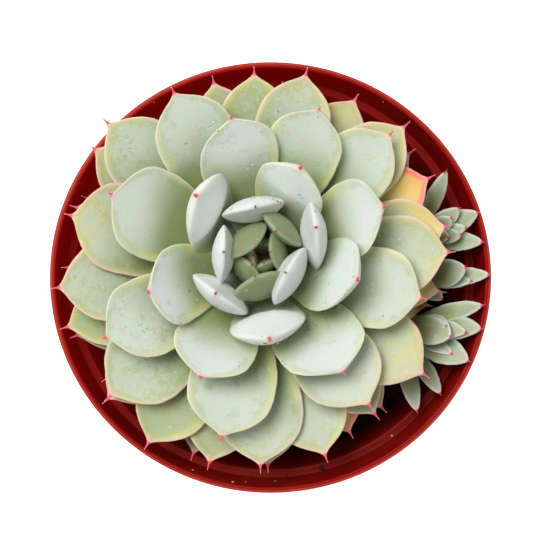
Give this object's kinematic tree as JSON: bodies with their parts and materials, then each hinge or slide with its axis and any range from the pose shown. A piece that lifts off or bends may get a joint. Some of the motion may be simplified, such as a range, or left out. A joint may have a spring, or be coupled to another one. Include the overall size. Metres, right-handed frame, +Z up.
{
  "type": "potted prism echeveria",
  "caption": "Succulent rosette of pale, pointed leaves with small offset rosettes beside it, growing in soil in a round tapered plastic pot with a rim band.",
  "frame": {"origin": "on the surface that the pot stands on, under the middle of the pot's rim", "axes": "+Z up, +X towards the side where the offset rosettes grow, +Y to its left when looking along +X"},
  "size_m": [0.1214, 0.1186, 0.1272],
  "materials": {
    "pot_plastic": "terracotta-red moulded plastic, satin",
    "soil": "moist dark potting soil with pale grains",
    "leaf": "fleshy leaf with a pale powdery bloom and pink tips",
    "offset_leaf": "fleshy leaf with a thin powdery bloom and pale margins",
    "water": "clear water drops",
    "grain": "pale mineral grains, rough"
  },
  "bodies": {
    "root": {"pot": "pot_plastic", "soil": "soil", "main_rosette": "leaf", "pup_1": "offset_leaf", "pup_2": "offset_leaf", "pup_3": "offset_leaf"}
  },
  "joints": []
}
